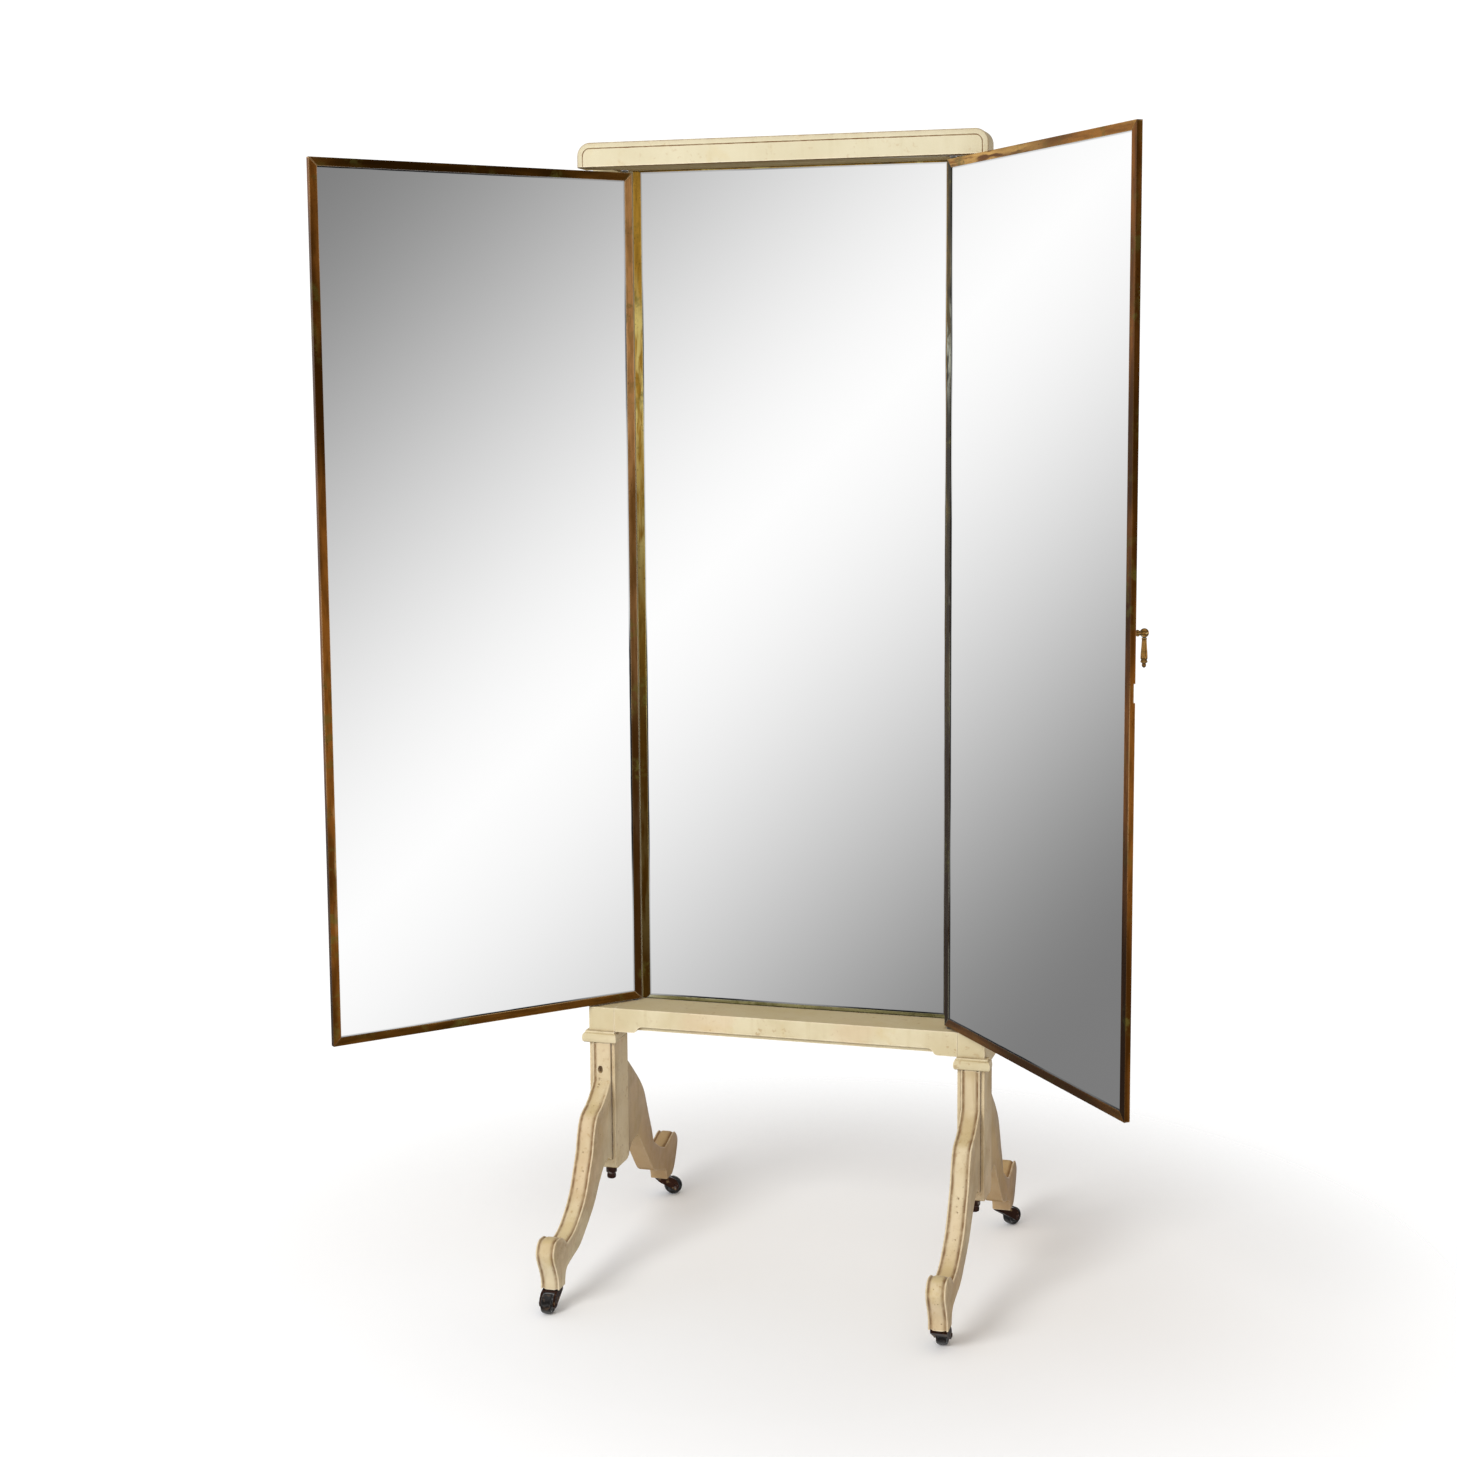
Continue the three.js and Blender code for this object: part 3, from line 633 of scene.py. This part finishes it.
# Cracks by leg: path as (y, z) and the range of x that it cuts
CRACKS = {
    "right_front_leg": (((-171, 263), (-160, 266), (-150, 264), (-138, 275), (-131, 287), (-122, 291),
                         (-113, 302)), CRACK_X),
    "right_rear_leg": (((92, 298), (98, 305), (104, 309), (112, 320)), CRACK_X),
}
STEM_BORE = (4.3, 30, 61)  # radius, foot and top
BOLT = [(0, 124), (5.4, 124), (7.4, 125.2), (7.9, 127), (7.9, 131), (7.2, 132), (7.2, 134), (8.8, 135),
        (9.5, 136.5), (9.5, 143), (8.6, 144), (8.6, 146), (9.5, 147), (9.5, 166), (0, 166)]

for side in SIDES:
    for end, facing in (("front", -1), ("rear", 1)):
        node = f"{side}_{end}_leg"
        chosen_material = LEG_CREAM if facing < 0 else REAR_CREAM
        leg = piece("look_" + node, reeded_board(node, facing), chosen_material, "carcass",
                    [node], sharp=40)
        drill = upright(rod(*STEM_BORE), Vector(JOINTS[f"{end}_{side}_swivel"]["pos_m"]))
        carve(leg, mesh_object("drill", drill, LEG_CREAM))
        for sizes in DENTS.get(node, ()):
            dent(leg, node, *sizes)
        if node in CRACKS:
            crack(leg, *CRACKS[node])

for side in SIDES:
    node = f"{side}_tie_bolt"
    piece("look_" + node, upright(lathe(BOLT), middle_of(node)), DARK_STEEL, "carcass", [node],
          sharp=30)

for edge in ("left", "right", "top", "bottom"):
    # The bottom bar takes the copy with its pale reflection painted in.
    chosen_material = BRASS_SHELF if edge == "bottom" else BRASS_CENTRE
    rounded(f"centre_frame_{edge}", chosen_material, "carcass", bevel=0.5)

# ---------------------------------------------------------------- wings


def finish_node(node, material):
    """Gives a CAD node that stays a better material."""
    materials = frame["nodes"][node].data.materials
    materials.clear()
    materials.append(material)


# Each wing's brass copies, with light and shade painted into them.
WING_BRASS_AS_LIT = (("left", BRASS_HINGE, BRASS_SHADED), ("right", BRASS_GREY_SHEEN, BRASS_LIT))

for side, hinge_brass_as_lit, bar_brass_as_lit in WING_BRASS_AS_LIT:
    body = f"{side}_wing"
    rounded(f"{body}_hinge_stile", hinge_brass_as_lit, body, bevel=0.5)
    rounded(f"{body}_outer_stile", BRASS_OUTER, body, bevel=0.5)
    for bar in ("top_bar", "bottom_bar"):
        rounded(f"{body}_{bar}", bar_brass_as_lit, body, bevel=0.5)
    rounded(f"{body}_backing", BACK_CREAM, body, bevel=0.5)
    for end in ("top", "bottom"):
        rounded(f"{body}_pin_{end}", STEEL, body, bevel=0.3)

for node in ("centre_mirror", "left_wing_mirror", "right_wing_mirror"):
    finish_node(node, SILVER)
for side in SIDES:
    for end in ("top", "bottom"):
        finish_node(f"{side}_bush_{end}", BRASS_POLISHED)

# ---------------------------------------------------------------- handle

PIN_AT = Vector(JOINTS["handle_swing"]["pos_m"])
PIN_AXIS = Vector(JOINTS["handle_swing"]["axis"]).normalized()
UP = Vector((0, 0, 1))
OUTWARD = UP.cross(PIN_AXIS).normalized()
# Turns the handle's own directions, along the pin, outward and up, into the model's
HANDLE_AXES = Matrix((PIN_AXIS, OUTWARD, UP)).transposed().to_4x4()
BALL_R, BALL_OUT = 6.6, 22.5  # the ball's radius, and how far its centre stands off the wing's back
BALL_STARTS, BALL_STEPS = -62, 24  # latitude in degrees at which it leaves the neck
KNOB_NECK = [(0, 0), (7.6, 0), (7.95, 0.4), (7.9, 1), (7.2, 1.5), (6.2, 1.8), (5.6, 2.4), (4, 3), (3.5, 3.8),
             (3.3, 6), (3.4, 9.3), (4.1, 10), (4.8, 10.8), (4.85, 11.7), (4.7, 12.5), (3.8, 13.2),
             (3.4, 14.4), (3.4, 16)]
SLOT_SIZE, SLOT_AT = (3.4, 13, 10.8), (0, 1.5, -2.6)


def handle_knob():
    angles = [math.radians(BALL_STARTS + (90 - BALL_STARTS) * k / BALL_STEPS) for k in range(BALL_STEPS)]
    ball = [(BALL_R * math.cos(t), BALL_OUT + BALL_R * math.sin(t)) for t in angles]
    return moved(lathe([*KNOB_NECK, *ball, (0, BALL_OUT + BALL_R)], 64),
                 aim(OUTWARD, PIN_AT - OUTWARD * BALL_OUT * MM))


def block_at(size, centre):
    """A box in the handle's own directions."""
    bm = bmesh.new()
    bmesh.ops.create_cube(bm, size=1)
    place = Matrix.Translation(PIN_AT + HANDLE_AXES.to_3x3() @ (Vector(centre) * MM))
    return moved(bm, place @ HANDLE_AXES @ Matrix.Diagonal((*(length * MM for length in size), 1)))


knob = piece("look_handle_knob", handle_knob(), BRASS_POLISHED, "right_wing",
             ["right_wing_handle_knob"])
carve(knob, mesh_object("slot", block_at(SLOT_SIZE, SLOT_AT), BRASS_POLISHED))
pin = lathe([(0, -5.6), (0.8, -5.6), (1.1, -5.3), (1.1, 5.3), (0.8, 5.6), (0, 5.6)], 24)
piece("look_handle_pin", moved(pin, aim(PIN_AXIS, PIN_AT)), STEEL, "right_wing")

DROP = [(0, -6.4), (2.7, -6.4), (3.7, -7), (3.9, -7.9), (3.6, -8.8), (3.5, -10.5), (3.8, -15), (4.2, -21),
        (4.7, -27), (5.0, -31.5), (5.1, -35), (4.9, -37), (4.2, -38.2), (4.0, -38.8), (4.6, -39.3),
        (5.1, -40.2), (5.1, -41.3), (4.5, -42.2), (2.9, -42.9), (2.6, -43.5), (3.1, -44.6), (3.2, -46),
        (2.5, -48.2), (0, -50)]
piece("look_handle_drop", moved(lathe(DROP, 64), Matrix.Translation(PIN_AT)), BRASS_POLISHED,
      "handle_drop", ["right_wing_handle_drop"])


EYE_HALF, EYE_R, EYE_HOLE_R, EYE_STEPS = 1.35, 2.4, 1.25, 24
SHANK_FOOT = -8
SHANK_BELOW = -0.8  # sine of the angle on the eye from where it runs down as a shank


def tongue():
    """The eye that hangs on the pin: a flat ring with a shank down into the drop."""
    bm = bmesh.new()
    count = EYE_STEPS
    turns = [2 * math.pi * k / count for k in range(count)]
    eye_outline = [(EYE_R * math.cos(t), EYE_R * math.sin(t) if math.sin(t) > SHANK_BELOW else SHANK_FOOT)
                   for t in turns]
    hole_outline = [(EYE_HOLE_R * math.cos(t), EYE_HOLE_R * math.sin(t)) for t in turns]
    rings = [[[bm.verts.new(Vector((x, y, z)) * MM) for y, z in outline]
              for outline in (eye_outline, hole_outline)] for x in (-EYE_HALF, EYE_HALF)]
    (eye_a, hole_a), (eye_b, hole_b) = rings
    for k in range(count):
        n = (k + 1) % count
        bm.faces.new((eye_a[k], eye_a[n], eye_b[n], eye_b[k]))
        bm.faces.new((hole_a[k], hole_b[k], hole_b[n], hole_a[n]))
        bm.faces.new((eye_a[k], hole_a[k], hole_a[n], eye_a[n]))
        bm.faces.new((eye_b[k], eye_b[n], hole_b[n], hole_b[k]))
    return moved(bm, Matrix.Translation(PIN_AT) @ HANDLE_AXES)


piece("look_handle_tongue", tongue(), BRASS_POLISHED, "handle_drop", sharp=50)

# ---------------------------------------------------------------- castors

WHEEL = [(2.7, -8.2), (5.6, -8.2), (6.4, -7.6), (6.9, -6.8), (9, -6.5), (11.6, -6.5), (12.4, -7.2),
         (13, -8.2), (13.6, -8.5), (14.4, -8.2), (15.2, -7.2), (15.8, -5.4), (16, -3), (16, 0)]
WHEEL += [(r, -a) for r, a in reversed(WHEEL[:-1])]
AXLE = [(0, -15.4), (2.6, -15.4), (3.6, -14.9), (3.9, -14.2), (3.9, -13.9), (2.45, -13.8)]
AXLE += [(r, -a) for r, a in reversed(AXLE)]

for name in CASTORS:
    spin = JOINTS[f"{name}_spin"]
    hub = aim(spin["axis"], Vector(spin["pos_m"]))
    rounded(f"{name}_castor_fork", IRON, f"{name}_castor", bevel=0.5, sharp=30)
    piece(f"look_{name}_axle", moved(lathe(AXLE, 32), hub), DARK_STEEL, f"{name}_castor",
          [f"{name}_castor_axle"], sharp=30)
    piece(f"look_{name}_wheel", moved(lathe(WHEEL, 72), hub), BLACK, f"{name}_wheel",
          [f"{name}_castor_wheel"], sharp=50)

# The mirrors show the studio only, and not the rest of the object.
for obj in bpy.context.scene.objects:
    if obj.type == "MESH":
        obj.visible_glossy = False

# ---------------------------------------------------------------- floor, light and camera


FLOOR_RADIUS = 3000
FLOOR_BELOW = 0.6  # how far it lies under the wheels
WHITE_STRENGTH = 1.1
# Light from the left of the studio and from the right, where it comes off something brown
AMBIENT_LEFT, AMBIENT_RIGHT = (0.88, 0.93, 1.0, 1), (0.48, 0.37, 0.26, 1)
# How many degrees the white band lies below level, by azimuth. The mirrors look at the three stretches where
# that falls by about one degree per degree
BAND_BELOW = ((-180, -10), (-114, 10.6), (-97, -5.6), (-60, 5), (-25, 16.4), (-10, 2.7), (40, 0), (150, 4.3),
              (164, -10), (180, -10))
MOST_BELOW = 20  # more than any of them, up or down
# Off the band, in degrees: white falls to dark over the first range, and rises again over the second
FALLS, RISES = (-1.5, 20.5), (30, 80)
DARK_LEVEL, RISE_LEVEL = 0.2, 0.6


def floor():
    bm = bmesh.new()
    bmesh.ops.create_circle(bm, cap_ends=True, segments=96, radius=FLOOR_RADIUS * MM)
    mesh = bpy.data.meshes.new("floor")
    bm.to_mesh(mesh)
    bm.free()
    s = Shader("floor")
    distance = s.node("VectorMath", {0: s.place()}, operation="LENGTH").outputs["Value"]
    s.set(Base_Color=(0.96, 0.98, 1.0, 1), Roughness=0.9, Specular_IOR_Level=0.0,
          Alpha=s.band(distance, 0.45, 1.5, (1, 0)))
    mesh.materials.append(s.material)
    obj = bpy.data.objects.new("floor", mesh)
    obj.location.z = -FLOOR_BELOW * MM
    bpy.context.scene.collection.objects.link(obj)
    obj.visible_glossy = False


def band_below(w, around):
    """BAND_BELOW at this azimuth, straight from point to point. The ramp holds it as a share from 0 to 1."""
    share = w.node("MapRange", {"Value": around, "From Min": -180, "From Max": 180}).outputs[0]
    ramp = w.node("ValToRGB", {0: share})
    elements = ramp.color_ramp.elements
    while len(elements) > 1:
        elements.remove(elements[-1])
    for index, (azimuth, below) in enumerate(BAND_BELOW):
        position = (azimuth + 180) / 360
        element = elements[0] if index == 0 else elements.new(position)
        element.position = position
        element.color = (*[(below + MOST_BELOW) / (2 * MOST_BELOW)] * 3, 1)
    return w.math("SUBTRACT", w.times(ramp.outputs[0], 2 * MOST_BELOW), MOST_BELOW)


def studio():
    """White surroundings. In the mirrors they darken towards the top on one side and the floor on the
    other, as grey flags round a white set do."""
    world = bpy.data.worlds.new("studio")
    bpy.context.scene.world = world
    world.use_nodes = True
    world.node_tree.nodes.clear()
    w = Nodes(world.node_tree)

    x, y, z = w.node("SeparateXYZ", {0: w.node("TexCoord").outputs["Generated"]}).outputs
    around = w.times(w.math("ARCTAN2", y, x), math.degrees(1))
    height = w.times(w.math("ARCSINE", z), math.degrees(1))
    off_band = w.math("ABSOLUTE", w.math("ADD", height, band_below(w, around)))
    falling = w.band(off_band, *FALLS, (1, DARK_LEVEL))
    rising = w.band(off_band, *RISES, (0, RISE_LEVEL))
    mirrored = w.node("Background", {"Color": w.math("ADD", falling, rising)})
    sideways = w.node("MapRange", {"Value": x, "From Min": -1}).outputs[0]
    soft = w.node("Background", {"Color": w.mix(sideways, AMBIENT_LEFT, AMBIENT_RIGHT)})
    white = w.node("Background", {"Color": (1, 1, 1, 1), "Strength": WHITE_STRENGTH})
    paths = w.node("LightPath").outputs
    seen = w.node("MixShader", {0: paths["Is Glossy Ray"], 1: soft.outputs[0], 2: mirrored.outputs[0]})
    seen = w.node("MixShader", {0: paths["Is Camera Ray"], 1: seen.outputs[0], 2: white.outputs[0]})
    w.node("OutputWorld", {0: seen.outputs[0]})


def panel(name, place, target, size, energy, colour):
    light = bpy.data.lights.new(name, "AREA")
    light.shape = "DISK"
    light.size = size * MM
    light.energy = energy
    light.color = colour
    obj = bpy.data.objects.new(name, light)
    bpy.context.scene.collection.objects.link(obj)
    obj.location = at(*place)
    obj.rotation_euler = (at(*target) - obj.location).to_track_quat("-Z", "Y").to_euler()
    obj.visible_glossy = False


floor()
studio()
panel("key", (-1300, -3400, 2500), (0, -100, 900), size=1800, energy=95, colour=(1.0, 0.98, 0.95))
panel("fill", (1400, -3400, 1500), (0, 0, 900), size=1600, energy=7, colour=(1.0, 0.96, 0.9))

# The camera: its place, its angles in radians, and the shift as a share of the frame
CAMERA_AT = (1015.9, -3724.2, 1480.8)
YAW, PITCH, ROLL = 0.2801, 0.1174, -0.0061
LENS, SENSOR = 56.94, 36
SHIFT = (-0.02251, -0.04043)

ahead = Vector((-math.sin(YAW) * math.cos(PITCH), math.cos(YAW) * math.cos(PITCH), -math.sin(PITCH)))
level = Vector((math.cos(YAW), math.sin(YAW), 0))
above = level.cross(ahead)
right = level * math.cos(ROLL) + above * math.sin(ROLL)
up = above * math.cos(ROLL) - level * math.sin(ROLL)
data = bpy.data.cameras.new("camera")
data.sensor_width = SENSOR
data.lens = LENS
data.shift_x, data.shift_y = SHIFT
camera = bpy.data.objects.new("camera", data)
camera.matrix_world = Matrix.Translation(at(*CAMERA_AT)) @ Matrix((right, up, -ahead)).transposed().to_4x4()
bpy.context.scene.collection.objects.link(camera)
bpy.context.scene.camera = camera
